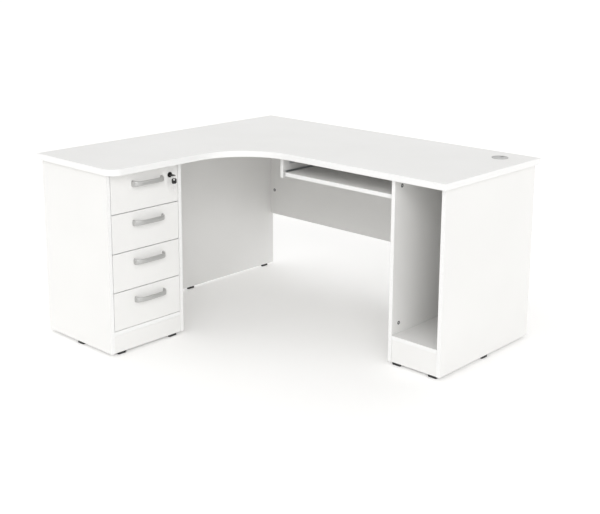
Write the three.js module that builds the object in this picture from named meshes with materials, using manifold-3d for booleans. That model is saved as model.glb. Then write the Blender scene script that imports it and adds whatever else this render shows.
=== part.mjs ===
// L-shaped corner desk: a banded worktop on a four-drawer pedestal, a back panel, a modesty panel
// and an open computer cabinet, with a sliding keyboard tray. Millimetres, +Z up.
// The group's origin is on the floor under the middle of the worktop's bounding box.
// Everything inside it is measured from the worktop's back corner on the floor:
// +X runs along the main wing, and the pedestal wing runs towards -Y.
import * as THREE from 'three';
import { mergeVertices } from 'three/addons/utils/BufferGeometryUtils.js';
import Module from 'manifold-3d';

const wasm = await Module();
wasm.setup();

// ---- Driving dimensions ----
const DESK_WIDTH = 1500;
const DESK_LENGTH = 1335;
const DESK_HEIGHT = 750;
const MAIN_DEPTH = 650;
const WING_DEPTH = 485;
const INNER_RADIUS = 250;
const CORNER_RADIUS = 50;
const TOP_THICKNESS = 25;
const BOARD = 16;
const SEAM = 0.3;
const BAND = 1.7;
const OVERHANG = 15;
const FOOT_HEIGHT = 10;
const FOOT_LENGTH = 40;
const FOOT_WIDTH = 14;

const GROMMET_X = 1380;
const GROMMET_Y = -110;
const GROMMET_HOLE_RADIUS = 30;

const PEDESTAL_FRONT = 435;
const PEDESTAL_INNER = -955;
const CABINET_LEFT = 1243;
const CABINET_FRONT = -625;
const SHELF_TOP = 116;
const PLINTH_RECESS = 2;
const MODESTY_BOTTOM = 267;

const DRAWER_COUNT = 4;
const DRAWER_PITCH = 155;
const DRAWER_GAP = 3;
const DRAWERS_BOTTOM = 100;
const DRAWER_SIDE_GAP = 2;
const BOX_DEPTH = 350;
const BOX_HEIGHT = 84;
const BOX_WALL = 12;
const BOX_FLOOR = 4;
const BOX_FLOOR_RISE = 6;
const BOX_LIFT = 12;

const HANDLE_LENGTH = 150;
const HANDLE_REACH = 29;
const HANDLE_CENTRE_Y = -1128;
const HANDLE_RISE = 31;

const LOCK_Y = -1013;
const LOCK_Z = 678;
const LOCK_RADIUS = 9.5;
const RING_RADIUS = 8;
const RING_WIRE = 0.75;

const SLIDE_SPACE = 13;
const RUNNER_HEIGHT = 35;
const RUNNER_LENGTH = 345;
const RUNNER_DROP = 6;

const TRAY_FRONT = -605;
const TRAY_DEPTH = 300;
const TRAY_TOP = 660;
const TRAY_SLIDE_HEIGHT = 27;
const TRAY_SLIDE_SETBACK = 3;
const HANGER_LEFT = 650;
const HANGER_DEPTH = 350;

// ---- Derived places ----
const UNDERSIDE = DESK_HEIGHT - TOP_THICKNESS;
const BOARD_TOP = UNDERSIDE - SEAM;
const BACK = -OVERHANG;
const REAR = OVERHANG;
const PEDESTAL_OUTER = -DESK_LENGTH + OVERHANG;
const CABINET_RIGHT = DESK_WIDTH - OVERHANG;
const LOW_Y = PEDESTAL_OUTER + BOARD;
const HIGH_Y = PEDESTAL_INNER - BOARD;
const FRONT_BACK_X = PEDESTAL_FRONT - BOARD;
const TRAY_LEFT = HANGER_LEFT + BOARD + SLIDE_SPACE;
const TRAY_RIGHT = CABINET_LEFT - SLIDE_SPACE;

// ---- Finishes ----
function finish(color, roughness, metalness) {
  return new THREE.MeshStandardMaterial({ color, roughness, metalness });
}

const melamine = finish(0xf1f1ef, 0.5, 0);
const edging = finish(0xf6f6f4, 0.35, 0);
const nickel = finish(0xb4b4b2, 0.35, 1);
const zinc = finish(0xc4c8cb, 0.4, 1);
const chrome = finish(0xd8d9da, 0.12, 1);
const blackNickel = finish(0x3a3a3c, 0.25, 1);
const blackPlastic = finish(0x141414, 0.5, 0);
const greyPlastic = finish(0xb9b9b7, 0.45, 0);

const desk = new THREE.Group();
desk.position.set(-DESK_WIDTH / 2, DESK_LENGTH / 2, 0);

function add(name, geometry, material) {
  const mesh = new THREE.Mesh(geometry, material);
  mesh.name = name;
  desk.add(mesh);
}

// ---- Geometry helpers ----
function box(low, high) {
  const size = high.map((value, i) => value - low[i]);
  const geometry = new THREE.BoxGeometry(size[0], size[1], size[2]);
  return geometry.translate((low[0] + high[0]) / 2, (low[1] + high[1]) / 2, (low[2] + high[2]) / 2);
}

function board(name, low, high) {
  add(name, box(low, high), melamine);
}

// A shape drawn in X and Y, raised from one height to another.
function prism(shape, bottom, top, segments = 16) {
  const options = { depth: top - bottom, bevelEnabled: false, curveSegments: segments };
  return new THREE.ExtrudeGeometry(shape, options).translate(0, 0, bottom);
}

// A shape drawn as (Y, Z), pushed along X.
function prismAlongX(shape, start, end, segments = 16) {
  const geometry = prism(shape, 0, end - start, segments);
  geometry.applyMatrix4(new THREE.Matrix4().makeBasis(
    new THREE.Vector3(0, 1, 0),
    new THREE.Vector3(0, 0, 1),
    new THREE.Vector3(1, 0, 0),
  ));
  return geometry.translate(start, 0, 0);
}

// A shape drawn as (Z, X), pushed along Y.
function prismAlongY(shape, start, end, segments = 16) {
  const geometry = prism(shape, 0, end - start, segments);
  geometry.applyMatrix4(new THREE.Matrix4().makeBasis(
    new THREE.Vector3(0, 0, 1),
    new THREE.Vector3(1, 0, 0),
    new THREE.Vector3(0, 1, 0),
  ));
  return geometry.translate(0, start, 0);
}

// Rings of equally many points, joined into one closed body; its ends are fans unless it closes on itself.
function loft(rings, closed = false) {
  const count = rings[0].length;
  const positions = rings.flat().flatMap((point) => point.toArray());
  const index = [];
  const spans = closed ? rings.length : rings.length - 1;
  for (let i = 0; i < spans; i += 1) {
    const next = (i + 1) % rings.length;
    for (let j = 0; j < count; j += 1) {
      const k = (j + 1) % count;
      index.push(i * count + j, i * count + k, next * count + k);
      index.push(i * count + j, next * count + k, next * count + j);
    }
  }
  if (!closed) {
    const last = (rings.length - 1) * count;
    for (let j = 1; j < count - 1; j += 1) {
      index.push(0, j + 1, j);
      index.push(last, last + j, last + j + 1);
    }
  }
  const geometry = new THREE.BufferGeometry();
  geometry.setAttribute('position', new THREE.Float32BufferAttribute(positions, 3));
  geometry.setIndex(index);
  geometry.computeVertexNormals();
  return geometry;
}

function toManifold(geometry) {
  const bare = geometry.clone();
  bare.deleteAttribute('normal');
  bare.deleteAttribute('uv');
  const merged = mergeVertices(bare, 1e-4);
  return new wasm.Manifold(new wasm.Mesh({
    numProp: 3,
    vertProperties: new Float32Array(merged.attributes.position.array),
    triVerts: new Uint32Array(merged.index.array),
  }));
}

function fromManifold(solid) {
  const mesh = solid.getMesh();
  const geometry = new THREE.BufferGeometry();
  geometry.setAttribute('position', new THREE.BufferAttribute(new Float32Array(mesh.vertProperties), 3));
  geometry.setIndex(new THREE.BufferAttribute(new Uint32Array(mesh.triVerts), 1));
  geometry.computeVertexNormals();
  return geometry;
}

function union(...parts) {
  return fromManifold(parts.map(toManifold).reduce((sum, part) => sum.add(part)));
}

function cut(body, ...tools) {
  return fromManifold(tools.map(toManifold).reduce((rest, tool) => rest.subtract(tool), toManifold(body)));
}

// ---- Worktop ----
// The L outline, drawn inside its outer edge by a given inset.
function worktopOutline(inset, PathType = THREE.Shape) {
  const outline = new PathType();
  const filletX = WING_DEPTH + INNER_RADIUS;
  const filletY = -MAIN_DEPTH - INNER_RADIUS;
  const cornerX = WING_DEPTH - CORNER_RADIUS;
  const cornerY = -DESK_LENGTH + CORNER_RADIUS;
  outline.moveTo(inset, -inset);
  outline.lineTo(inset, -DESK_LENGTH + inset);
  outline.lineTo(cornerX, -DESK_LENGTH + inset);
  outline.absarc(cornerX, cornerY, CORNER_RADIUS - inset, -Math.PI / 2, 0, false);
  outline.lineTo(WING_DEPTH - inset, filletY);
  outline.absarc(filletX, filletY, INNER_RADIUS + inset, Math.PI, Math.PI / 2, true);
  outline.lineTo(DESK_WIDTH - inset, -MAIN_DEPTH + inset);
  outline.lineTo(DESK_WIDTH - inset, -inset);
  outline.closePath();
  return outline;
}

const CURVE_SEGMENTS = 24;
const worktop = worktopOutline(BAND + SEAM);
const grommetHole = new THREE.Path();
grommetHole.absarc(GROMMET_X, GROMMET_Y, GROMMET_HOLE_RADIUS, 0, Math.PI * 2, true);
worktop.holes.push(grommetHole);
add('worktop', prism(worktop, UNDERSIDE, DESK_HEIGHT, CURVE_SEGMENTS), melamine);

const band = worktopOutline(0);
band.holes.push(worktopOutline(BAND, THREE.Path));
add('worktop_edge_band', prism(band, UNDERSIDE, DESK_HEIGHT, CURVE_SEGMENTS), edging);

// ---- Cable grommet: a flanged sleeve and a lift-out cap with a cable notch ----
const FLANGE_RADIUS = 33;
const FLANGE_HEIGHT = 2.5;
const SLEEVE_INNER_RADIUS = 27.6;
const CAP_RADIUS = 27;
const CAP_LEDGE_RADIUS = 25.6;
const NOTCH_WIDTH = 14;
const NOTCH_OFFSET = 12;
const FLANGE_CHAMFER = 0.8;
const SLEEVE_BOTTOM = UNDERSIDE + 3;
const CAP_LEDGE_TOP = DESK_HEIGHT - 1;
const CAP_TOP = DESK_HEIGHT + 1.5;
const sleeveProfile = [
  [CAP_LEDGE_RADIUS, SLEEVE_BOTTOM],
  [GROMMET_HOLE_RADIUS - SEAM, SLEEVE_BOTTOM],
  [GROMMET_HOLE_RADIUS - SEAM, DESK_HEIGHT + SEAM],
  [FLANGE_RADIUS, DESK_HEIGHT + SEAM],
  [FLANGE_RADIUS - FLANGE_CHAMFER, DESK_HEIGHT + FLANGE_HEIGHT],
  [SLEEVE_INNER_RADIUS, DESK_HEIGHT + FLANGE_HEIGHT],
  [SLEEVE_INNER_RADIUS, CAP_LEDGE_TOP],
  [CAP_LEDGE_RADIUS, CAP_LEDGE_TOP],
  [CAP_LEDGE_RADIUS, SLEEVE_BOTTOM],
].map(([radius, height]) => new THREE.Vector2(radius, height));
const sleeve = new THREE.LatheGeometry(sleeveProfile, 40).rotateX(Math.PI / 2);
add('grommet_sleeve', sleeve.translate(GROMMET_X, GROMMET_Y, 0), greyPlastic);

const capShape = new THREE.Shape();
const notchHalfAngle = Math.asin(NOTCH_WIDTH / 2 / CAP_RADIUS);
const notchStart = Math.PI / 2 + notchHalfAngle;
const notchEnd = Math.PI / 2 - notchHalfAngle + Math.PI * 2;
capShape.absarc(GROMMET_X, GROMMET_Y, CAP_RADIUS, notchStart, notchEnd, false);
capShape.lineTo(GROMMET_X + NOTCH_WIDTH / 2, GROMMET_Y + NOTCH_OFFSET);
capShape.absarc(GROMMET_X, GROMMET_Y + NOTCH_OFFSET, NOTCH_WIDTH / 2, 0, Math.PI, true);
capShape.closePath();
add('grommet_cap', prism(capShape, CAP_LEDGE_TOP + SEAM, CAP_TOP, CURVE_SEGMENTS), greyPlastic);

// ---- Structural panels ----
board('wing_back_panel',
  [REAR, PEDESTAL_INNER + SEAM, FOOT_HEIGHT],
  [REAR + BOARD, BACK, BOARD_TOP]);
board('modesty_panel',
  [REAR + BOARD + SEAM, BACK - BOARD, MODESTY_BOTTOM],
  [CABINET_LEFT - SEAM, BACK, BOARD_TOP]);

// ---- Drawer pedestal ----
const DRAWER_FLOOR_GAP = 3;
const PEDESTAL_FLOOR = DRAWERS_BOTTOM - DRAWER_FLOOR_GAP;
const RAIL_HEIGHT = 35;
const RAIL_GAP = 1.3;
const RAIL_BACK_X = FRONT_BACK_X - RAIL_GAP - BOARD;

board('pedestal_outer_side',
  [REAR, PEDESTAL_OUTER, FOOT_HEIGHT],
  [PEDESTAL_FRONT, LOW_Y, BOARD_TOP]);
board('pedestal_inner_side',
  [REAR, HIGH_Y, FOOT_HEIGHT],
  [PEDESTAL_FRONT, PEDESTAL_INNER, BOARD_TOP]);
board('pedestal_back',
  [REAR, LOW_Y + SEAM, FOOT_HEIGHT],
  [REAR + BOARD, HIGH_Y - SEAM, BOARD_TOP]);
board('pedestal_floor',
  [REAR + BOARD + SEAM, LOW_Y + SEAM, PEDESTAL_FLOOR - BOARD],
  [PEDESTAL_FRONT - PLINTH_RECESS, HIGH_Y - SEAM, PEDESTAL_FLOOR]);
board('pedestal_plinth',
  [PEDESTAL_FRONT - PLINTH_RECESS - BOARD, LOW_Y + SEAM, FOOT_HEIGHT],
  [PEDESTAL_FRONT - PLINTH_RECESS, HIGH_Y - SEAM, PEDESTAL_FLOOR - BOARD - SEAM]);

// The lock's cam turns up behind this rail, which hangs under the worktop behind the top drawer's front.
board('pedestal_top_rail',
  [RAIL_BACK_X, LOW_Y + SEAM, BOARD_TOP - RAIL_HEIGHT],
  [RAIL_BACK_X + BOARD, HIGH_Y - SEAM, BOARD_TOP]);

// ---- Computer cabinet, open at the front ----
board('cabinet_inner_side',
  [CABINET_LEFT, CABINET_FRONT, FOOT_HEIGHT],
  [CABINET_LEFT + BOARD, BACK, BOARD_TOP]);
board('cabinet_outer_side',
  [CABINET_RIGHT - BOARD, CABINET_FRONT, FOOT_HEIGHT],
  [CABINET_RIGHT, BACK, BOARD_TOP]);
board('cabinet_back',
  [CABINET_LEFT + BOARD + SEAM, BACK - BOARD, FOOT_HEIGHT],
  [CABINET_RIGHT - BOARD - SEAM, BACK, BOARD_TOP]);
board('cabinet_shelf',
  [CABINET_LEFT + BOARD + SEAM, CABINET_FRONT, SHELF_TOP - BOARD],
  [CABINET_RIGHT - BOARD - SEAM, BACK - BOARD - SEAM, SHELF_TOP]);
board('cabinet_plinth',
  [CABINET_LEFT + BOARD + SEAM, CABINET_FRONT + PLINTH_RECESS, FOOT_HEIGHT],
  [CABINET_RIGHT - BOARD - SEAM, CABINET_FRONT + PLINTH_RECESS + BOARD, SHELF_TOP - BOARD - SEAM]);

// ---- Glide feet: nail-on pads with round ends, one along each board's bottom edge ----
function foot(name, x, y, alongX) {
  const shape = new THREE.Shape();
  const radius = FOOT_WIDTH / 2;
  const reach = FOOT_LENGTH / 2 - radius;
  shape.absarc(reach, 0, radius, -Math.PI / 2, Math.PI / 2, false);
  shape.absarc(-reach, 0, radius, Math.PI / 2, Math.PI * 1.5, false);
  shape.closePath();
  const geometry = prism(shape, 0, FOOT_HEIGHT - SEAM, 6);
  if (!alongX) geometry.rotateZ(Math.PI / 2);
  add(name, geometry.translate(x, y, 0), blackPlastic);
}

const PEDESTAL_FOOT_INSET = 54;
const CABINET_FOOT_INSET = 37;
const WING_CORNER_FOOT_INSET = 56;
const WING_MIDDLE_Y = -558;
const backPanelX = REAR + BOARD / 2;
const pedestalMiddleX = (REAR + PEDESTAL_FRONT) / 2;
const pedestalPlinthX = PEDESTAL_FRONT - PLINTH_RECESS - BOARD / 2;
const cabinetMiddleX = (CABINET_LEFT + CABINET_RIGHT) / 2;
const cabinetMiddleY = (CABINET_FRONT + BACK) / 2;
const cabinetPlinthY = CABINET_FRONT + PLINTH_RECESS + BOARD / 2;
foot('foot_pedestal_front_outer', pedestalPlinthX, PEDESTAL_OUTER + PEDESTAL_FOOT_INSET, false);
foot('foot_pedestal_front_inner', pedestalPlinthX, PEDESTAL_INNER - PEDESTAL_FOOT_INSET, false);
foot('foot_pedestal_outer_side', pedestalMiddleX, PEDESTAL_OUTER + BOARD / 2, true);
foot('foot_pedestal_inner_side', pedestalMiddleX, PEDESTAL_INNER - BOARD / 2, true);
foot('foot_pedestal_back', backPanelX, (LOW_Y + HIGH_Y) / 2, false);
foot('foot_wing_panel_middle', backPanelX, WING_MIDDLE_Y, false);
foot('foot_wing_panel_corner', backPanelX, BACK - WING_CORNER_FOOT_INSET, false);
foot('foot_cabinet_front_inner', CABINET_LEFT + CABINET_FOOT_INSET, cabinetPlinthY, true);
foot('foot_cabinet_front_outer', CABINET_RIGHT - CABINET_FOOT_INSET, cabinetPlinthY, true);
foot('foot_cabinet_inner_side', CABINET_LEFT + BOARD / 2, cabinetMiddleY, false);
foot('foot_cabinet_outer_side', CABINET_RIGHT - BOARD / 2, cabinetMiddleY, false);
foot('foot_cabinet_back', cabinetMiddleX, BACK - BOARD / 2, true);

// ---- Drawers ----
// A bow pull: one bar lofted along an arch, a little taller at its two feet than in the middle.
function handleGeometry(centreY, centreZ) {
  const STEPS = 20;
  const FOOT_TALL = 25;
  const BAR_TALL = 19;
  const THICK = 7;
  const SIDES = 8;
  const ARCH_POWER = 0.55;
  const ARCH_SLOPE = 1.4;
  const FLARE_POWER = 1.6;
  const SQUARENESS = 1.08;
  const sectionReach = (value) => Math.sign(value) * Math.min(1, Math.abs(value) * SQUARENESS);
  const halfLength = HANDLE_LENGTH / 2 - THICK / 2;
  const rings = [];
  for (let i = 0; i <= STEPS; i += 1) {
    const angle = Math.PI * (i / STEPS);
    const along = Math.sign(Math.cos(angle)) * Math.abs(Math.cos(angle)) ** ARCH_POWER * halfLength;
    const out = Math.sin(angle) ** ARCH_POWER * (HANDLE_REACH - THICK / 2);
    const slopeAlong = -Math.sin(angle);
    const slopeOut = Math.cos(angle) * (HANDLE_REACH / halfLength) * ARCH_SLOPE;
    const edge = i === 0 || i === STEPS;
    const across = edge
      ? new THREE.Vector2(0, Math.sign(Math.cos(angle)))
      : new THREE.Vector2(-slopeAlong, slopeOut).normalize();
    const flare = (1 - Math.sin(angle)) ** FLARE_POWER;
    const tall = BAR_TALL + (FOOT_TALL - BAR_TALL) * flare;
    const ring = [];
    for (let j = 0; j < SIDES; j += 1) {
      const turn = ((j + 0.5) / SIDES) * Math.PI * 2;
      const depth = sectionReach(Math.cos(turn)) * (THICK / 2);
      const height = sectionReach(Math.sin(turn)) * (tall / 2);
      ring.push(new THREE.Vector3(
        PEDESTAL_FRONT + SEAM + out + depth * across.x,
        centreY + along + depth * across.y,
        centreZ + height,
      ));
    }
    rings.push(ring);
  }
  return loft(rings);
}

// One ball-bearing runner member: a channel with its web against the board at `wallY`.
function runnerGeometry(low, high, wallY, sense) {
  const WEB = 1.5;
  const LIP = 9;
  const top = high[1];
  const bottom = low[1];
  const shape = new THREE.Shape();
  const points = [
    [wallY, bottom],
    [wallY + sense * LIP, bottom],
    [wallY + sense * LIP, bottom + WEB],
    [wallY + sense * WEB, bottom + WEB],
    [wallY + sense * WEB, top - WEB],
    [wallY + sense * LIP, top - WEB],
    [wallY + sense * LIP, top],
    [wallY, top],
  ];
  points.forEach(([y, z], i) => (i ? shape.lineTo(y, z) : shape.moveTo(y, z)));
  shape.closePath();
  return prismAlongX(shape, low[0], high[0]);
}

const FRONT_LOW_Y = LOW_Y + DRAWER_SIDE_GAP;
const FRONT_HIGH_Y = HIGH_Y - DRAWER_SIDE_GAP;
const BOX_LOW_Y = LOW_Y + SLIDE_SPACE;
const BOX_HIGH_Y = HIGH_Y - SLIDE_SPACE;
const BOX_FRONT_X = FRONT_BACK_X - SEAM;
const BOX_BACK_X = BOX_FRONT_X - BOX_DEPTH;

for (let n = 1; n <= DRAWER_COUNT; n += 1) {
  const bottom = DRAWERS_BOTTOM + (DRAWER_COUNT - n) * DRAWER_PITCH;
  const top = bottom + DRAWER_PITCH - DRAWER_GAP;
  const middle = (bottom + top) / 2;

  let front = box([FRONT_BACK_X, FRONT_LOW_Y, bottom], [PEDESTAL_FRONT, FRONT_HIGH_Y, top]);
  if (n === 1) {
    const lockHole = new THREE.CylinderGeometry(LOCK_RADIUS + SEAM, LOCK_RADIUS + SEAM, BOARD * 2, 24);
    lockHole.rotateZ(Math.PI / 2);
    front = cut(front, lockHole.translate(PEDESTAL_FRONT - BOARD / 2, LOCK_Y, LOCK_Z));
  }
  add(`drawer_${n}_front`, front, melamine);

  const boxBottom = bottom + BOX_LIFT;
  const tray = cut(
    box([BOX_BACK_X, BOX_LOW_Y, boxBottom], [BOX_FRONT_X, BOX_HIGH_Y, boxBottom + BOX_HEIGHT]),
    box(
      [BOX_BACK_X + BOX_WALL, BOX_LOW_Y + BOX_WALL, boxBottom + BOX_FLOOR_RISE + BOX_FLOOR],
      [BOX_FRONT_X + 1, BOX_HIGH_Y - BOX_WALL, boxBottom + BOX_HEIGHT + 1],
    ),
    box(
      [BOX_BACK_X + BOX_WALL, BOX_LOW_Y + BOX_WALL, boxBottom - 1],
      [BOX_FRONT_X + 1, BOX_HIGH_Y - BOX_WALL, boxBottom + BOX_FLOOR_RISE],
    ),
  );
  add(`drawer_${n}_box`, tray, melamine);
  add(`drawer_${n}_handle`, handleGeometry(HANDLE_CENTRE_Y, middle + HANDLE_RISE), nickel);

  const runnerLow = boxBottom + (BOX_HEIGHT - RUNNER_HEIGHT) / 2 - RUNNER_DROP;
  const runnerFrom = [BOX_BACK_X, runnerLow];
  const runnerTo = [BOX_BACK_X + RUNNER_LENGTH, runnerLow + RUNNER_HEIGHT];
  add(`drawer_${n}_runner_outer`, runnerGeometry(runnerFrom, runnerTo, LOW_Y + SEAM, 1), zinc);
  add(`drawer_${n}_runner_inner`, runnerGeometry(runnerFrom, runnerTo, HIGH_Y - SEAM, -1), zinc);
}

// ---- Lock of the top drawer ----
const LOCK_RIM_RADIUS = 11;
const PLUG_RADIUS = 6.2;
const LOCK_FACE_X = PEDESTAL_FRONT + 3;
const CAM_LENGTH = 38;
const CAM_WIDTH = 14;
const CAM_THICKNESS = 3;
const CAM_CLEARANCE = 3;
const CAM_BACK_X = RAIL_BACK_X - CAM_THICKNESS - CAM_CLEARANCE;
const BARREL_BACK_X = CAM_BACK_X + CAM_THICKNESS + 1;
const RIM_CHAMFER = 1;
const KEY_SLOT_WIDTH = 9;
const KEY_SLOT_HEIGHT = 2.8;
const KEY_SLOT_DEPTH = 25;
const KEY_THICKNESS = 2;
const HEAD_THICKNESS = 2.5;

// A lathe about the lock's axis; its profile is (radius, distance along X).
function latheAlongX(profile, segments) {
  const points = profile.map(([radius, x]) => new THREE.Vector2(radius, x));
  const geometry = new THREE.LatheGeometry(points, segments);
  geometry.rotateZ(-Math.PI / 2);
  return geometry.translate(0, LOCK_Y, LOCK_Z);
}

add('lock_barrel', latheAlongX([
  [PLUG_RADIUS + SEAM, BARREL_BACK_X],
  [LOCK_RADIUS, BARREL_BACK_X],
  [LOCK_RADIUS, PEDESTAL_FRONT + SEAM],
  [LOCK_RIM_RADIUS, PEDESTAL_FRONT + SEAM],
  [LOCK_RIM_RADIUS, LOCK_FACE_X - RIM_CHAMFER],
  [LOCK_RIM_RADIUS - RIM_CHAMFER, LOCK_FACE_X],
  [PLUG_RADIUS + SEAM, LOCK_FACE_X],
  [PLUG_RADIUS + SEAM, BARREL_BACK_X],
], 32), blackNickel);

// The plug turns in the barrel and carries the cam, which lies level while the drawer is unlocked.
// The key's slot is open at the plug's face.
const plugBody = new THREE.CylinderGeometry(PLUG_RADIUS, PLUG_RADIUS, LOCK_FACE_X - CAM_BACK_X, 24);
plugBody.rotateZ(Math.PI / 2);
plugBody.translate((LOCK_FACE_X + CAM_BACK_X) / 2, LOCK_Y, LOCK_Z);
const camBlade = box(
  [CAM_BACK_X, LOCK_Y - CAM_WIDTH / 2, LOCK_Z - CAM_WIDTH / 2],
  [CAM_BACK_X + CAM_THICKNESS, LOCK_Y + CAM_LENGTH, LOCK_Z + CAM_WIDTH / 2],
);
const keySlot = box(
  [LOCK_FACE_X - KEY_SLOT_DEPTH, LOCK_Y - KEY_SLOT_WIDTH / 2, LOCK_Z - KEY_SLOT_HEIGHT / 2],
  [LOCK_FACE_X + 1, LOCK_Y + KEY_SLOT_WIDTH / 2, LOCK_Z + KEY_SLOT_HEIGHT / 2],
);
add('lock_plug', cut(union(plugBody, camBlade), keySlot), blackNickel);

// A key is drawn as (Z, X) from the hole in its head, with its blade towards -X and its flat sides facing Y.
const HEAD_LENGTH = 22;
const HEAD_WIDTH = 20;
const HEAD_HOLE_RADIUS = 3.5;
const HEAD_HOLE_INSET = 5.5;
const BLADE_LENGTH = 27;
const BLADE_HEIGHT = 7;
const HEAD_STANDOFF = 3;
const KEY_HOLE_X = LOCK_FACE_X + HEAD_STANDOFF + HEAD_LENGTH - HEAD_HOLE_INSET;

function keyGeometry() {
  const CORNER = 7;
  const BLADE_ROOT = 4;
  const GRIP_WIDTH = 14;
  const GRIP_THICKNESS = 5;
  const GRIP_START = 1.5;
  const GRIP_END = 10.5;
  const outer = HEAD_HOLE_INSET;
  const inner = HEAD_HOLE_INSET - HEAD_LENGTH;
  const half = HEAD_WIDTH / 2;
  const head = new THREE.Shape();
  head.moveTo(-half + CORNER, inner);
  head.lineTo(half - CORNER, inner);
  head.quadraticCurveTo(half, inner, half, inner + CORNER);
  head.lineTo(half, outer - CORNER);
  head.quadraticCurveTo(half, outer, half - CORNER, outer);
  head.lineTo(-half + CORNER, outer);
  head.quadraticCurveTo(-half, outer, -half, outer - CORNER);
  head.lineTo(-half, inner + CORNER);
  head.quadraticCurveTo(-half, inner, -half + CORNER, inner);
  const hole = new THREE.Path();
  hole.absarc(0, 0, HEAD_HOLE_RADIUS, 0, Math.PI * 2, true);
  head.holes.push(hole);
  const plate = prismAlongY(head, -HEAD_THICKNESS / 2, HEAD_THICKNESS / 2, 8);
  const blade = box(
    [inner - BLADE_LENGTH, -KEY_THICKNESS / 2, -BLADE_HEIGHT / 2],
    [inner + BLADE_ROOT, KEY_THICKNESS / 2, BLADE_HEIGHT / 2],
  );
  const grip = box(
    [inner + GRIP_START, -GRIP_THICKNESS / 2, -GRIP_WIDTH / 2],
    [inner + GRIP_END, GRIP_THICKNESS / 2, GRIP_WIDTH / 2],
  );
  return union(plate, grip, blade);
}

// The key in the lock lies flat.
add('key', keyGeometry().rotateX(Math.PI / 2).translate(KEY_HOLE_X, LOCK_Y, LOCK_Z), blackPlastic);

// The split ring hangs on the rim between the hole and the end of the key's head.
const RING_CLEARANCE = 0.3;
const rimWidth = HEAD_HOLE_INSET - HEAD_HOLE_RADIUS;
const rimTop = LOCK_Z + HEAD_THICKNESS / 2;
const ringCentreX = KEY_HOLE_X + HEAD_HOLE_RADIUS + rimWidth / 2;
const ringCentreZ = rimTop + RING_CLEARANCE - Math.hypot(RING_RADIUS - RING_WIRE, rimWidth / 2);
const RING_STEPS = 32;
const WIRE_SIDES = 6;
const ringSections = [];
for (let i = 0; i < RING_STEPS; i += 1) {
  const around = (i / RING_STEPS) * Math.PI * 2;
  const section = [];
  for (let j = 0; j < WIRE_SIDES; j += 1) {
    const turn = (j / WIRE_SIDES) * Math.PI * 2;
    const radius = RING_RADIUS + Math.cos(turn) * RING_WIRE;
    section.push(new THREE.Vector3(
      ringCentreX + Math.sin(around) * radius,
      LOCK_Y - Math.sin(turn) * RING_WIRE,
      ringCentreZ + Math.cos(around) * radius,
    ));
  }
  ringSections.push(section);
}
add('key_ring', loft(ringSections, true), chrome);

// The spare key hangs from the ring with its blade down, turned a little to one side.
const SPARE_TWIST = Math.PI * 0.35;
const spareHoleZ = ringCentreZ - RING_RADIUS - (HEAD_HOLE_RADIUS - RING_WIRE - RING_CLEARANCE);
const spareKey = keyGeometry().rotateY(-Math.PI / 2).rotateZ(SPARE_TWIST);
add('spare_key', spareKey.translate(ringCentreX, LOCK_Y, spareHoleZ), blackPlastic);

// ---- Keyboard tray on two side slides ----
const HANGER_DROP = 3;
board('tray_hanger_panel',
  [HANGER_LEFT, TRAY_FRONT, TRAY_TOP - BOARD / 2 - TRAY_SLIDE_HEIGHT / 2 - HANGER_DROP],
  [HANGER_LEFT + BOARD, TRAY_FRONT + HANGER_DEPTH, BOARD_TOP]);
board('keyboard_tray',
  [TRAY_LEFT, TRAY_FRONT, TRAY_TOP - BOARD],
  [TRAY_RIGHT, TRAY_FRONT + TRAY_DEPTH, TRAY_TOP]);

// A tray slide is an outer channel on the cabinet or hanger and an inner channel on the tray's edge,
// facing each other; both are drawn as (Z, X) and pushed along Y.
function slideGeometry(wallX, sense, height, reach) {
  const WEB = 1.5;
  const middle = TRAY_TOP - BOARD / 2;
  const top = middle + height / 2;
  const bottom = middle - height / 2;
  const shape = new THREE.Shape();
  const points = [
    [bottom, wallX],
    [bottom, wallX + sense * reach],
    [bottom + WEB, wallX + sense * reach],
    [bottom + WEB, wallX + sense * WEB],
    [top - WEB, wallX + sense * WEB],
    [top - WEB, wallX + sense * reach],
    [top, wallX + sense * reach],
    [top, wallX],
  ];
  points.forEach(([z, x], i) => (i ? shape.lineTo(z, x) : shape.moveTo(z, x)));
  shape.closePath();
  return prismAlongY(shape, TRAY_FRONT + TRAY_SLIDE_SETBACK, TRAY_FRONT + TRAY_DEPTH);
}

const OUTER_REACH = 10;
const INNER_REACH = 9;
const INNER_HEIGHT = 22;
const leftOuter = slideGeometry(HANGER_LEFT + BOARD + SEAM, 1, TRAY_SLIDE_HEIGHT, OUTER_REACH);
const leftInner = slideGeometry(TRAY_LEFT - SEAM, -1, INNER_HEIGHT, INNER_REACH);
const rightOuter = slideGeometry(CABINET_LEFT - SEAM, -1, TRAY_SLIDE_HEIGHT, OUTER_REACH);
const rightInner = slideGeometry(TRAY_RIGHT + SEAM, 1, INNER_HEIGHT, INNER_REACH);
add('tray_slide_left_outer', leftOuter, zinc);
add('tray_slide_left_inner', leftInner, zinc);
add('tray_slide_right_outer', rightOuter, zinc);
add('tray_slide_right_inner', rightInner, zinc);

const group = new THREE.Group();
group.add(desk);

export default group;
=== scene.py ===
"""A white L-shaped corner desk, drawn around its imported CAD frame. Metres, +Z up."""

import math

import bmesh
import bpy
from mathutils import Matrix, Vector


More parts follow.
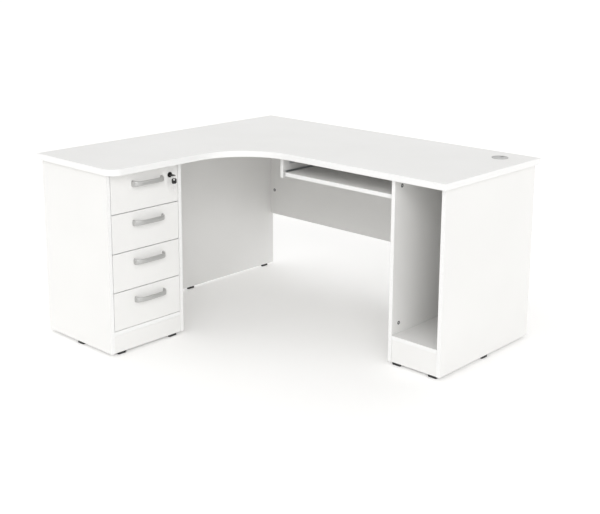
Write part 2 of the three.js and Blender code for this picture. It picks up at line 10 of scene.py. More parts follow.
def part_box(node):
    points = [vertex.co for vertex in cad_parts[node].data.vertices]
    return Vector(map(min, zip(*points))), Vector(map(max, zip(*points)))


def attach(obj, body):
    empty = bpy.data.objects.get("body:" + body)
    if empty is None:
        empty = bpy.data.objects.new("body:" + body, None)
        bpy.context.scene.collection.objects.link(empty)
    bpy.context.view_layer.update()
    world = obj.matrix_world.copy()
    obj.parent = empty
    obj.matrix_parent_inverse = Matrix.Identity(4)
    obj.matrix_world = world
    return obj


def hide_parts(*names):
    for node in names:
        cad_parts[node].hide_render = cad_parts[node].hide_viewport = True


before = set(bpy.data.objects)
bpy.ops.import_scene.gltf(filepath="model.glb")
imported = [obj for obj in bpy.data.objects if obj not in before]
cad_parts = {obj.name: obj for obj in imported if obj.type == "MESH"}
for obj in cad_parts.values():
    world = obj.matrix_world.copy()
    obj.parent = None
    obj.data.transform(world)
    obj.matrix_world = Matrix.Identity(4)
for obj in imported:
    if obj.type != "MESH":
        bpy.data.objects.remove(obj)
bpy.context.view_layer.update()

MM = 0.001
# A hairline gap between pieces that would otherwise share a face.
SEAM = 0.1 * MM
UP = Vector((0, 0, 1))
DRAWERS = range(1, 5)


# ---- Camera, light and floor ----
# The camera was fitted to the outline of the desk in the photo. Its angles are in degrees.
CAMERA_PLACE = (2.799, -2.9411, 1.5699)
CAMERA_AZIMUTH = 42.881
CAMERA_ELEVATION = 11.939
CAMERA_ROLL = 0.319
SENSOR_WIDTH = 36
LENS_LENGTH = 62.47
LENS_SHIFT_UP = -0.1533
VIEW_DISTANCE = 200

# Each lamp's direction, its strength and its width in degrees, matched to the tones in the photo.
LAMPS = {
    "key_lamp": ((0.61, -0.61, 0.5), 0.56, 25),
    "front_lamp": ((0.25, -0.83, 0.5), 0.22, 25),
    "low_lamp": ((0.7, -0.7, 0.08), 0.46, 60),
    "left_lamp": ((-0.6, -0.6, 0.55), 0.7, 70),
    "right_lamp": ((0.94, -0.1, 0.34), 0.78, 70),
    "rear_lamp": ((-0.4, 0.5, 0.75), 0.64, 80),
}
WORLD_STRENGTH = 0.51
FLOOR_HALF = 60
FLOOR_GLOW = 0.1


def make_camera():
    azimuth = math.radians(CAMERA_AZIMUTH)
    elevation = math.radians(CAMERA_ELEVATION)
    roll = math.radians(CAMERA_ROLL)
    forward = Vector((
        -math.sin(azimuth) * math.cos(elevation),
        math.cos(azimuth) * math.cos(elevation),
        -math.sin(elevation),
    ))
    right = forward.cross(UP).normalized()
    up = right.cross(forward)
    across = right * math.cos(roll) + up * math.sin(roll)
    upright = up * math.cos(roll) - right * math.sin(roll)
    camera = bpy.data.objects.new("camera", bpy.data.cameras.new("camera"))
    bpy.context.scene.collection.objects.link(camera)
    turn = Matrix((across, upright, -forward)).transposed().to_4x4()
    camera.matrix_world = Matrix.Translation(CAMERA_PLACE) @ turn
    camera.data.sensor_width = SENSOR_WIDTH
    camera.data.lens = LENS_LENGTH
    camera.data.shift_y = LENS_SHIFT_UP
    camera.data.clip_end = VIEW_DISTANCE
    bpy.context.scene.camera = camera


def make_world():
    world = bpy.data.worlds.new("studio")
    world.use_nodes = True
    background = world.node_tree.nodes["Background"]
    background.inputs["Color"].default_value = (1.0, 1.0, 1.0, 1)
    background.inputs["Strength"].default_value = WORLD_STRENGTH
    bpy.context.scene.world = world


def make_lamp(name, direction, strength, spread):
    """A soft, even light from far away, shining from a direction; spread is its width in degrees."""
    light = bpy.data.lights.new(name, "SUN")
    light.energy = strength
    light.angle = math.radians(spread)
    lamp = bpy.data.objects.new(name, light)
    bpy.context.scene.collection.objects.link(lamp)
    lamp.matrix_world = Vector(direction).to_track_quat("Z", "Y").to_matrix().to_4x4()


def make_floor():
    """A wide sheet of white paper. It glows a little, which keeps the desk's shadow faint."""
    half = FLOOR_HALF
    part = bmesh.new()
    part.faces.new([part.verts.new((x, y, 0)) for x, y in rectangle(-half, -half, half, half)])
    mesh = bpy.data.meshes.new("floor")
    part.to_mesh(mesh)
    part.free()
    floor = bpy.data.objects.new("floor", mesh)
    bpy.context.scene.collection.objects.link(floor)
    paper = Finish("floor_paper", (0.97, 0.965, 0.955), 0.9)
    paper.shader.inputs["Emission Color"].default_value = (1.0, 0.995, 0.985, 1)
    paper.shader.inputs["Emission Strength"].default_value = FLOOR_GLOW
    mesh.materials.append(paper.material)


# ---- Materials ----
# Noise rarely leaves this part of its range from 0 to 1.
NOISE_LOW, NOISE_HIGH = 0.3, 0.7
# A mix node has several inputs and outputs of the same name; these numbers pick those for colour.
MIX_SECOND_COLOR = 7
MIX_COLOR_RESULT = 2


class Finish:
    """A Principled material with procedural colour, roughness and surface detail."""

    def __init__(self, name, color, roughness, metallic=0.0):
        self.material = bpy.data.materials.new(name)
        self.material.use_nodes = True
        self.tree = self.material.node_tree
        self.shader = self.tree.nodes["Principled BSDF"]
        self.color = self.shader.inputs["Base Color"]
        self.color.default_value = (*color, 1)
        self.roughness = self.shader.inputs["Roughness"]
        self.roughness.default_value = roughness
        self.shader.inputs["Metallic"].default_value = metallic
        self.coordinates = self.tree.nodes.new("ShaderNodeTexCoord").outputs["Object"]

    def add(self, kind, **links):
        node = self.tree.nodes.new(kind)
        for name, source in links.items():
            self.tree.links.new(source, node.inputs[name])
        return node

    def stretched(self, stretch):
        mapping = self.add("ShaderNodeMapping", Vector=self.coordinates)
        mapping.inputs["Scale"].default_value = stretch
        return mapping.outputs["Vector"]

    def noise(self, scale, detail=3.0, stretch=(1, 1, 1)):
        texture = self.add("ShaderNodeTexNoise", Vector=self.stretched(stretch))
        texture.inputs["Scale"].default_value = scale
        texture.inputs["Detail"].default_value = detail
        return texture.outputs["Fac"]

    def cells(self, scale, output="Distance"):
        texture = self.add("ShaderNodeTexVoronoi", Vector=self.coordinates)
        texture.inputs["Scale"].default_value = scale
        return texture.outputs[output]

    def ramp(self, source, low_color, high_color, low=NOISE_LOW, high=NOISE_HIGH):
        """A blend of two colours, as source goes from low to high."""
        node = self.add("ShaderNodeValToRGB", Fac=source)
        node.color_ramp.elements[0].position = low
        node.color_ramp.elements[0].color = (*low_color, 1)
        node.color_ramp.elements[1].position = high
        node.color_ramp.elements[1].color = (*high_color, 1)
        return node.outputs["Color"]

    def range(self, source, low, high):
        """A value that goes from low to high with a noise."""
        node = self.add("ShaderNodeMapRange", Value=source)
        node.inputs["From Min"].default_value = NOISE_LOW
        node.inputs["From Max"].default_value = NOISE_HIGH
        node.inputs["To Min"].default_value = low
        node.inputs["To Max"].default_value = high
        return node.outputs["Result"]

    def worn(self, source, wear_color, amount):
        """The colour given by source, rubbed towards wear_color along the edges."""
        wear = self.tree.nodes.new("ShaderNodeAttribute")
        wear.attribute_name = "wear"
        patches = self.range(self.noise(90, 4), 0, amount)
        rubbed = self.add("ShaderNodeMath")
        rubbed.operation = "MULTIPLY"
        self.tree.links.new(wear.outputs["Fac"], rubbed.inputs[0])
        self.tree.links.new(patches, rubbed.inputs[1])
        mix = self.tree.nodes.new("ShaderNodeMix")
        mix.data_type = "RGBA"
        self.tree.links.new(rubbed.outputs["Value"], mix.inputs["Factor"])
        self.tree.links.new(source, mix.inputs["A"])
        mix.inputs[MIX_SECOND_COLOR].default_value = (*wear_color, 1)
        return mix.outputs[MIX_COLOR_RESULT]

    def set_color(self, source):
        self.tree.links.new(source, self.color)

    def set_roughness(self, source):
        self.tree.links.new(source, self.roughness)

    def set_bump(self, source, height, strength):
        bump = self.add("ShaderNodeBump", Height=source)
        bump.inputs["Distance"].default_value = height
        bump.inputs["Strength"].default_value = strength
        self.tree.links.new(bump.outputs["Normal"], self.shader.inputs["Normal"])


def make_melamine():
    finish = Finish("melamine", (0.8, 0.8, 0.79), 0.45)
    clouds = finish.noise(3.5, 4)
    face = finish.ramp(clouds, (0.794, 0.79, 0.776), (0.817, 0.813, 0.8))
    finish.set_color(finish.worn(face, (0.62, 0.61, 0.58), 0.35))
    finish.set_roughness(finish.range(finish.noise(14, 3), 0.4, 0.52))
    finish.set_bump(finish.noise(1100, 2), 0.06 * MM, 0.35)
    return finish.material


def make_edging():
    finish = Finish("edging", (0.84, 0.84, 0.83), 0.32)
    streaks = finish.noise(40, 3, (0.2, 0.2, 6))
    band = finish.ramp(streaks, (0.83, 0.83, 0.82), (0.855, 0.855, 0.85))
    finish.set_color(finish.worn(band, (0.68, 0.67, 0.64), 0.4))
    finish.set_roughness(finish.range(finish.noise(25, 3), 0.27, 0.38))
    finish.set_bump(finish.noise(500, 2, (0.3, 0.3, 3)), 0.03 * MM, 0.3)
    finish.shader.inputs["Coat Weight"].default_value = 0.15
    finish.shader.inputs["Coat Roughness"].default_value = 0.25
    return finish.material


def make_satin_nickel():
    finish = Finish("satin_nickel", (0.5, 0.5, 0.49), 0.42, 0.65)
    brushing = finish.noise(260, 4, (1, 0.04, 1))
    face = finish.ramp(brushing, (0.46, 0.46, 0.452), (0.55, 0.55, 0.54))
    finish.set_color(finish.worn(face, (0.68, 0.68, 0.66), 0.5))
    finish.set_roughness(finish.range(finish.noise(180, 3, (1, 0.06, 1)), 0.36, 0.5))
    finish.set_bump(finish.noise(900, 3, (1, 0.03, 1)), 0.02 * MM, 0.35)
    return finish.material


def make_zinc():
    finish = Finish("zinc_steel", (0.55, 0.57, 0.6), 0.38, 1.0)
    spangle = finish.cells(140, "Color")
    face = finish.ramp(spangle, (0.5, 0.52, 0.55), (0.62, 0.64, 0.66), 0.2, 0.9)
    finish.set_color(finish.worn(face, (0.36, 0.34, 0.32), 0.4))
    finish.set_roughness(finish.range(finish.noise(60, 4), 0.3, 0.5))
    finish.set_bump(finish.noise(400, 3), 0.03 * MM, 0.3)
    return finish.material


# The cam fittings are zinc. This colour is painted dark grey to stand in for the shade in their recesses
# and for the dark surroundings that they reflect.
def make_fitting_painted_dark():
    finish = Finish("fitting_painted_dark", (0.16, 0.16, 0.165), 0.5, 0.6)
    grain = finish.noise(700, 3)
    finish.set_color(finish.ramp(grain, (0.11, 0.11, 0.115), (0.2, 0.2, 0.205)))
    finish.set_roughness(finish.range(grain, 0.42, 0.6))
    finish.set_bump(grain, 0.05 * MM, 0.4)
    return finish.material


def make_chrome():
    finish = Finish("chrome", (0.72, 0.72, 0.73), 0.12, 1.0)
    smudges = finish.noise(120, 4)
    finish.set_color(finish.ramp(smudges, (0.68, 0.68, 0.69), (0.75, 0.75, 0.76)))
    finish.set_roughness(finish.range(smudges, 0.08, 0.2))
    finish.set_bump(finish.noise(600, 2), 0.01 * MM, 0.2)
    return finish.material


def make_black_nickel():
    finish = Finish("black_nickel", (0.05, 0.05, 0.052), 0.25, 1.0)
    turning = finish.noise(500, 3, (3, 0.4, 0.4))
    finish.set_color(finish.ramp(turning, (0.035, 0.035, 0.037), (0.075, 0.075, 0.078)))
    finish.set_roughness(finish.range(turning, 0.2, 0.34))
    finish.set_bump(turning, 0.02 * MM, 0.3)
    return finish.material


def make_moulded(name, dark, light, rough):
    """A moulded plastic, cloudy from dark to light and paler where it is rubbed."""
    finish = Finish(name, light, rough)
    face = finish.ramp(finish.noise(30, 4), dark, light)
    rubbed = [min(1, 1.6 * value + 0.02) for value in light]
    finish.set_color(finish.worn(face, rubbed, 0.5))
    finish.set_roughness(finish.range(finish.noise(45, 3), rough - 0.06, rough + 0.08))
    finish.set_bump(finish.cells(1500), 0.05 * MM, 0.3)
    return finish.material


MELAMINE = make_melamine()
EDGING = make_edging()
NICKEL = make_satin_nickel()
ZINC = make_zinc()
PAINTED_DARK_FITTING = make_fitting_painted_dark()
CHROME = make_chrome()
BLACK_NICKEL = make_black_nickel()
GREY_PLASTIC = make_moulded("grommet_plastic", (0.43, 0.43, 0.425), (0.5, 0.5, 0.495), 0.42)
FOOT_PLASTIC = make_moulded("foot_plastic", (0.01, 0.01, 0.01), (0.02, 0.02, 0.02), 0.5)
KEY_PLASTIC = make_moulded("key_plastic", (0.004, 0.004, 0.004), (0.009, 0.009, 0.009), 0.5)


# ---- Mesh parts ----
# Each function that makes a part gives a fresh bmesh; piece() joins them into one object.
SMOOTH_LIMIT = math.radians(42)
RIM_ANGLE = math.radians(60)
LEVEL_TOLERANCE = 1e-7


def arc(centre, radius, start, end, steps):
    """Points along an arc, its angles in degrees."""
    angles = [math.radians(start + (end - start) * i / steps) for i in range(steps + 1)]
    x, y = centre
    return [Vector((x + radius * math.cos(angle), y + radius * math.sin(angle))) for angle in angles]


def circle(radius, steps, centre=(0, 0)):
    return arc(centre, radius, 0, 360, steps)[:-1]


def rectangle(low_x, low_y, high_x, high_y):
    return [(low_x, low_y), (high_x, low_y), (high_x, high_y), (low_x, high_y)]


def blank():
    """An empty part with a place to mark where it is worn."""
    part = bmesh.new()
    part.verts.layers.float.new("wear")
    return part


def bevel(part, edges, radius, segments):
    """Rounds the edges, and marks the middle of each rounding as worn."""
    wear = part.verts.layers.float["wear"]
    made = bmesh.ops.bevel(
        part, geom=list(edges), offset=radius, segments=segments, profile=0.5, affect="EDGES")
    rounded = set(made["faces"])
    for vertex in made["verts"]:
        vertex[wear] = float(all(face in rounded for face in vertex.link_faces))


def moved(part, matrix):
    bmesh.ops.transform(part, matrix=matrix, verts=part.verts)
    return part


def block(low, high, radius, segments=2):
    """A box with rounded edges between two corners."""
    low, high = Vector(low), Vector(high)
    part = blank()
    bmesh.ops.create_cube(part, size=1)
    size = high - low
    moved(part, Matrix.Translation((low + high) / 2) @ Matrix.Diagonal((*size, 1)))
    bevel(part, part.edges, radius, segments)
    return part


def stack(rings, closed=False):
    """Rings of equally many points joined by faces; the ends are capped unless the stack closes."""
    part = blank()
    made = [[part.verts.new(point) for point in ring] for ring in rings]
    count = len(made[0])
    pairs = list(zip(made, made[1:]))
    if closed:
        pairs.append((made[-1], made[0]))
    for first, second in pairs:
        for j in range(count):
            k = (j + 1) % count
            part.faces.new((first[j], first[k], second[k], second[j]))
    if not closed:
        part.faces.new(reversed(made[0]))
        part.faces.new(made[-1])
    return part


def lathe(profile, steps=48, closed=False):
    """A turned solid about Z. The profile is (radius, height); closed makes it a hollow ring."""
    rings = [[(p.x, p.y, height) for p in circle(radius, steps)] for radius, height in profile]
    return stack(rings, closed)


def plate(outline, holes, bottom, top, radius=0.0, segments=2):
    """A flat outline with holes, raised from bottom to top, its rims rounded."""
    part = blank()
    rims = []
    for points in [outline, *holes]:
        verts = [part.verts.new((p[0], p[1], bottom)) for p in points]
        rims += [part.edges.new(pair) for pair in zip(verts, verts[1:] + verts[:1])]
    flat = bmesh.ops.triangle_fill(part, use_beauty=True, edges=rims)
    faces = [item for item in flat["geom"] if isinstance(item, bmesh.types.BMFace)]
    raised = bmesh.ops.extrude_face_region(part, geom=faces)
    verts = [item for item in raised["geom"] if isinstance(item, bmesh.types.BMVert)]
    bmesh.ops.translate(part, vec=(0, 0, top - bottom), verts=verts)
    bmesh.ops.recalc_face_normals(part, faces=part.faces)
    if radius:
        bevel(part, [edge for edge in part.edges if is_rim(edge)], radius, segments)
    return part


def is_rim(edge):
    """Whether an edge is level and has faces that meet at a steep angle."""
    first, second = edge.verts
    level = abs(first.co.z - second.co.z) < LEVEL_TOLERANCE
    return level and edge.calc_face_angle(0) > RIM_ANGLE


def piece(name, parts, material, body, replaces=()):
    """One object from its parts, riding on a body and drawn in place of the nodes it replaces."""
    whole = blank()
    scratch = bpy.data.meshes.new("scratch")
    for part in parts:
        bmesh.ops.recalc_face_normals(part, faces=part.faces)
        part.to_mesh(scratch)
        part.free()
        whole.from_mesh(scratch)
    bpy.data.meshes.remove(scratch)
    mesh = bpy.data.meshes.new(name)
    whole.to_mesh(mesh)
    whole.free()
    for polygon in mesh.polygons:
        polygon.use_smooth = True
    mesh.set_sharp_from_angle(angle=SMOOTH_LIMIT)
    mesh.materials.append(material)
    made = bpy.data.objects.new(name, mesh)
    bpy.context.scene.collection.objects.link(made)
    normals = made.modifiers.new("normals", "WEIGHTED_NORMAL")
    normals.keep_sharp = True
    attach(made, body)
    if replaces:
        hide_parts(*replaces)
    return made


# ---- Boards: a melamine-faced core with plastic bands round its narrow sides ----
BAND = 1.0 * MM
CORE_ROUNDING = 0.2 * MM
BAND_ROUNDING = 0.35 * MM


def core_with_hole(low, high, hole, radius):
    """A board facing X, with one round hole; the plate is drawn in Y and Z and pushed along X."""
    outline = rectangle(low.y, low.z, high.y, high.z)
    part = plate(outline, [circle(radius, 32, hole)], low.x, high.x)
    upright = Matrix(((0, 0, 1, 0), (1, 0, 0, 0), (0, 1, 0, 0), (0, 0, 0, 1)))
    return moved(part, upright)


def board(name, low, high, body, replaces=(), hole=None, hole_radius=0.0):
    """A banded board between two corners. A hole, given in Y and Z, needs a board that faces X."""
    low, high = Vector(low), Vector(high)
    size = high - low
    thin = min(range(3), key=lambda axis: size[axis])
    first, second = [axis for axis in range(3) if axis != thin]
    core_low, core_high = low.copy(), high.copy()
    for axis in (first, second):
        core_low[axis] += BAND
        core_high[axis] -= BAND
    if hole:
        core = core_with_hole(core_low, core_high, hole, hole_radius)
    else:
        core = block(core_low, core_high, CORE_ROUNDING, 1)
    piece(f"{name}_core", [core], MELAMINE, body, replaces)
    strips = []
    for axis, other, inset in ((first, second, 0), (second, first, BAND)):
        for start in (low[axis], high[axis] - BAND):
            strip_low, strip_high = low.copy(), high.copy()
            strip_low[axis] = start
            strip_high[axis] = start + BAND
            strip_low[other] += inset
            strip_high[other] -= inset
            strips.append(block(strip_low, strip_high, BAND_ROUNDING, 3))
    piece(f"{name}_bands", strips, EDGING, body)


def make_carcass():
    nodes = [
        "wing_back_panel", "modesty_panel", "tray_hanger_panel",
        "pedestal_outer_side", "pedestal_inner_side", "pedestal_back", "pedestal_floor",
        "pedestal_plinth", "pedestal_top_rail",
        "cabinet_inner_side", "cabinet_outer_side", "cabinet_back", "cabinet_shelf", "cabinet_plinth",
    ]
    for node in nodes:
        board(node, *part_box(node), "desk_frame", [node])


# ---- Worktop ----
WING_DEPTH = 485 * MM
MAIN_DEPTH = 650 * MM
INNER_RADIUS = 250 * MM
FRONT_CORNER_RADIUS = 50 * MM
CUT_CORNER_RADIUS = 2.5 * MM
TOP_BAND = 1.7 * MM
TOP_BAND_ROUNDING = 1.4 * MM
GROMMET_HOLE_RADIUS = 30 * MM


def worktop_outline(inset):
    """The L outline, drawn inside its outer edge by an inset, counter-clockwise."""
    low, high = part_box("worktop_edge_band")
    wing_x = low.x + WING_DEPTH
    main_y = high.y - MAIN_DEPTH
    small = CUT_CORNER_RADIUS
    large = FRONT_CORNER_RADIUS
    inner = (wing_x + INNER_RADIUS, main_y - INNER_RADIUS)
    return [
        *arc((low.x + small, high.y - small), small - inset, 90, 180, 5),
        *arc((low.x + small, low.y + small), small - inset, 180, 270, 5),
        *arc((wing_x - large, low.y + large), large - inset, 270, 360, 24),
        *arc(inner, INNER_RADIUS + inset, 180, 90, 72),
        *arc((high.x - small, main_y + small), small - inset, 270, 360, 5),
        *arc((high.x - small, high.y - small), small - inset, 0, 90, 5),
    ]


def grommet_centre():
    low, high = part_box("grommet_sleeve")
    return (low + high) / 2


def make_worktop():
    low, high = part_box("worktop")
    centre = grommet_centre()
    hole = circle(GROMMET_HOLE_RADIUS, 64, centre.xy)
    slab = plate(worktop_outline(TOP_BAND + SEAM), [hole], low.z, high.z, CORE_ROUNDING, 1)
    piece("worktop_slab", [slab], MELAMINE, "desk_frame", ["worktop"])
    rounding = TOP_BAND_ROUNDING
    profile = [
        (TOP_BAND, low.z),
        *[(rounding - p.x, low.z + rounding - p.y) for p in arc((0, 0), rounding, 90, 0, 6)],
        *[(rounding - p.x, high.z - rounding + p.y) for p in arc((0, 0), rounding, 0, 90, 6)],
        (TOP_BAND, high.z),
    ]
    rings = [[(p.x, p.y, z) for p in worktop_outline(inset)] for inset, z in profile]
    band = stack(rings, closed=True)
    piece("worktop_band", [band], EDGING, "desk_frame", ["worktop_edge_band"])


# ---- Cable grommet ----
GROMMET_GAP = 0.3 * MM
NOTCH_RADIUS = 7 * MM
NOTCH_OFFSET = 12 * MM


def make_grommet_sleeve(place):
    """A tube with a rounded flange on the worktop and a ledge inside that the cap rests on."""
    low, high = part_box("grommet_sleeve")
    flange = (high.x - low.x) / 2
    outer = 29.7 * MM
    bore = 27.6 * MM
    ledge = 25.6 * MM
    rounding = 1.6 * MM
    chamfer = 0.5 * MM
    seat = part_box("grommet_cap")[0].z - GROMMET_GAP
    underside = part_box("worktop")[1].z + GROMMET_GAP
    rim = arc((flange - rounding, high.z - rounding), rounding, 0, 90, 6)
    profile = [
        (ledge, low.z), (outer, low.z), (outer, underside), (flange, underside), *rim,
        (bore + chamfer, high.z), (bore, high.z - chamfer), (bore, seat), (ledge, seat),
    ]
    sleeve = moved(lathe(profile, 96, closed=True), place)
    piece("grommet_ring", [sleeve], GREY_PLASTIC, "desk_frame", ["grommet_sleeve"])


def make_grommet_lid(place):
    """A disc with a notch for cables and a low raised ring."""
    low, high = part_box("grommet_cap")
    radius = (high.x - low.x) / 2
    half = math.degrees(math.asin(NOTCH_RADIUS / radius))
    rim = arc((0, 0), radius, 90 + half, 450 - half, 90)
    outline = rim + arc((0, NOTCH_OFFSET), NOTCH_RADIUS, 0, -180, 16)
    rounding = 0.7 * MM
    lid = plate(outline, [], low.z, high.z, rounding, 3)
    ring_root = high.z - 0.2 * MM
    ring_crest = high.z + 0.35 * MM
    ring_shares = [(0.62, ring_root), (0.66, ring_root), (0.655, ring_crest), (0.625, ring_crest)]
    ring = lathe([(radius * share, height) for share, height in ring_shares], 64, closed=True)
    parts = [moved(part, place) for part in (lid, ring)]
    piece("grommet_lid", parts, GREY_PLASTIC, "grommet_cap", ["grommet_cap"])


def make_grommet():
    place = Matrix.Translation((*grommet_centre().xy, 0))
    make_grommet_sleeve(place)
    make_grommet_lid(place)


# ---- Glide feet ----
def make_foot(node):
    """A moulded pad with round ends and rounded rims, and a recess under it for its nail."""
    low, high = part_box(node)
    centre = (low + high) / 2
    size = high - low
    along_x = size.x > size.y
    length, width = (size.x, size.y) if along_x else (size.y, size.x)
    end = width / 2
    reach = length / 2 - end

    def outline(inset, z):
        right = arc((reach, 0), end - inset, -90, 90, 12)
        left = arc((-reach, 0), end - inset, 90, 270, 12)
        return [(p.x, p.y, z) for p in right + left]

    recess_depth = 0.8 * MM
    rounding = 1.6 * MM
    step_in = 0.7 * MM
    step_low, step_high = high.z - 3 * MM, high.z - 2.6 * MM
    rings = [outline(end * 0.55, low.z + recess_depth), outline(end * 0.5, low.z)]
    rings += [outline(rounding - p.x, low.z + rounding - p.y) for p in arc((0, 0), rounding, 90, 0, 4)]
    rings += [outline(0, step_low), outline(step_in, step_high), outline(step_in, high.z)]
    turn = Matrix.Rotation(0 if along_x else math.pi / 2, 4, "Z")
    pad = moved(stack(rings), Matrix.Translation((*centre.xy, 0)) @ turn)
    piece(f"{node}_pad", [pad], FOOT_PLASTIC, "desk_frame", [node])


# ---- Small fasteners ----
CAM_RADIUS = 7.5 * MM


def facing(place, normal):
    """Puts a part drawn about Z at a place, with its top towards a normal."""
    return Matrix.Translation(place) @ Vector(normal).to_track_quat("Z", "Y").to_matrix().to_4x4()


def cross_outline(arm, half):
    """A plus-shaped outline."""
    quarter = [Vector((arm, -half)), Vector((arm, half)), Vector((half, half))]
    return [Matrix.Rotation(i * math.pi / 2, 2) @ point for i in range(4) for point in quarter]


def cam_fitting_parts(place, normal):
    """The face of a cam fitting: a disc in a rim, with a cross for the driver."""
    disc_radius = CAM_RADIUS - 0.6 * MM
    rim_inside = CAM_RADIUS - 0.5 * MM
    rim_middle = CAM_RADIUS - 0.25 * MM
    sunk = -0.4 * MM
    well_top = -0.05 * MM
    disc_top = 0.5 * MM
    cross = cross_outline(4.4 * MM, 0.9 * MM)
    disc = plate(circle(disc_radius, 32), [cross], 0, disc_top)
    well = lathe([(disc_radius, sunk), (disc_radius, well_top)], 32)
    rim = lathe([
        (rim_inside, sunk), (CAM_RADIUS, sunk), (CAM_RADIUS, 0.4 * MM), (rim_middle, 0.6 * MM),
        (rim_inside, disc_top),
    ], 32, closed=True)
    return [moved(part, facing(place, normal)) for part in (disc, well, rim)]


def screw_parts(place, normal, radius=3.6 * MM):
    """A pan-head screw with a recessed centre."""
    height = radius * 0.55
    slopes = [math.radians(degrees) for degrees in range(0, 76, 15)]
    dome = [(radius * math.cos(slope), height * math.sin(slope)) for slope in slopes]
    recess = [(radius * 0.24, height * 0.95), (radius * 0.16, height * 0.35)]
    return [moved(lathe(dome + recess, 20), facing(place, normal))]


def make_cam_fittings():
    """The cams inside the computer cabinet, on both of its sides, and those on the modesty panel."""
    parts = []
    inner_low, inner_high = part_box("cabinet_inner_side")
    outer_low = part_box("cabinet_outer_side")[0]
    shelf_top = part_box("cabinet_shelf")[1].z
    front_inset, rear_inset = 42 * MM, 60 * MM
    above_shelf, below_top = 41 * MM, 29 * MM
    for y in (inner_low.y + front_inset, inner_high.y - rear_inset):
        for z in (shelf_top + above_shelf, inner_high.z - below_top):
            parts += cam_fitting_parts((inner_high.x, y, z), (1, 0, 0))
            parts += cam_fitting_parts((outer_low.x, y, z), (-1, 0, 0))
    low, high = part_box("modesty_panel")
    end_inset, above_edge, below_edge = 26 * MM, 120 * MM, 60 * MM
    for x in (low.x + end_inset, high.x - end_inset):
        for z in (low.z + above_edge, high.z - below_edge):
            parts += cam_fitting_parts((x, low.y, z), (0, -1, 0))
    piece("cam_fittings", parts, PAINTED_DARK_FITTING, "desk_frame")


def make_brackets():
    """Steel angles that hold the tray's hanger to the worktop."""
    low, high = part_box("tray_hanger_panel")
    width, leg, gauge = 32 * MM, 34 * MM, 2 * MM
    rounding = 0.5 * MM
    front_inset, rear_inset = 52 * MM, 60 * MM
    screw_reach = leg * 0.6
    screw_shift = 8 * MM
    parts, screws = [], []
    for y in (low.y + front_inset, high.y - rear_inset):
        start, end = y - width / 2, y + width / 2
        upright_low = (high.x, start, high.z - leg)
        parts.append(block(upright_low, (high.x + gauge, end, high.z), rounding))
        flat_low = (high.x + gauge, start, high.z - gauge)
        parts.append(block(flat_low, (high.x + leg, end, high.z), rounding))
        for shift in (-screw_shift, screw_shift):
            screws += screw_parts((high.x + gauge, y + shift, high.z - screw_reach), (1, 0, 0))
            screws += screw_parts((high.x + screw_reach, y + shift, high.z - gauge), (0, 0, -1))
    piece("hanger_brackets", parts, ZINC, "desk_frame")
    piece("hanger_bracket_screws", screws, ZINC, "desk_frame")


# ---- Ball slides ----
GAUGE = 1.3 * MM
FIXED_REACH = 9.4 * MM
MOVING_REACH = 8.2 * MM
BALL_SPACE = 4 * MM
BALL_RADIUS = 1.3 * MM
BALL_PITCH = 17 * MM
BALL_COUNT = 7
BALL_START = 0.45
SCREW_SHARES = (0.12, 0.5, 0.88)
SLIDE_SCREW_RADIUS = 3.2 * MM


def channel_profile(reach, height):
    """A rolled channel, as (out from the wall, up from the middle), with round corners and curled lips."""
    half = height / 2
    outer = 3 * MM
    inner = outer - GAUGE
    lip = 1.5 * MM
    outside = [
        *arc((reach - lip, -half + lip), lip, 0, -90, 4),
        *arc((outer, -half + outer), outer, 270, 180, 5),
        *arc((outer, half - outer), outer, 180, 90, 5),
        *arc((reach - lip, half - lip), lip, 90, 0, 4),
    ]
    inside = [
        Vector((reach - GAUGE, half - lip)),
        Vector((reach - lip, half - GAUGE)),
        *arc((outer, half - outer), inner, 90, 180, 5),
        *arc((outer, -half + outer), inner, 180, 270, 5),
        Vector((reach - lip, -half + GAUGE)),
        Vector((reach - GAUGE, -half + lip)),
    ]
    return outside + inside


def channel(origin, out, along, length, reach, height):
    """A channel whose web's middle line starts at origin and runs along a direction."""
    out, along = Vector(out), Vector(along)
    profile = channel_profile(reach, height)
    rings = [
        [Vector(origin) + out * p.x + UP * p.y + along * distance for p in profile]
        for distance in (0, length)
    ]
    return stack(rings)


def balls(origin, along):
    """A row of balls that starts at origin and runs along a direction."""
    parts = []
    for i in range(BALL_COUNT):
        part = blank()
        bmesh.ops.create_icosphere(part, subdivisions=2, radius=BALL_RADIUS)
        parts.append(moved(part, Matrix.Translation(origin + along * BALL_PITCH * i)))
    return parts


def make_ball_slide(name, node, wall, out, along, length, gap, bodies, moving_nodes=()):
    """Two nested channels with their balls: the fixed one on a wall, the moving one on what it carries.

    The gap is the way from the wall to the carried board, and bodies are the fixed and the moving one.
    """
    low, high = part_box(node)
    middle = (low.z + high.z) / 2
    height = high.z - low.z
    out, along = Vector(out), Vector(along)
    start = Vector((*Vector(wall).xy, middle))
    fixed = channel(start, out, along, length, FIXED_REACH, height)
    piece(f"{name}_fixed_channel", [fixed], ZINC, bodies[0], [node])
    far = start + out * gap
    inner_height = height - 2 * BALL_SPACE
    moving = channel(far, -out, along, length, MOVING_REACH, inner_height)
    piece(f"{name}_moving_channel", [moving], ZINC, bodies[1], moving_nodes)
    screws, beads = [], []
    for share in SCREW_SHARES:
        place = start + along * length * share
        screws += screw_parts(place + out * GAUGE, out, SLIDE_SCREW_RADIUS)
    ball_height = inner_height / 2 + BALL_RADIUS + 0.3 * MM
    for side in (-1, 1):
        first = start + out * gap * 0.5 + UP * side * ball_height + along * length * BALL_START
        beads += balls(first, along)
    piece(f"{name}_screws", screws, ZINC, bodies[0])
    piece(f"{name}_balls", beads, CHROME, bodies[0])


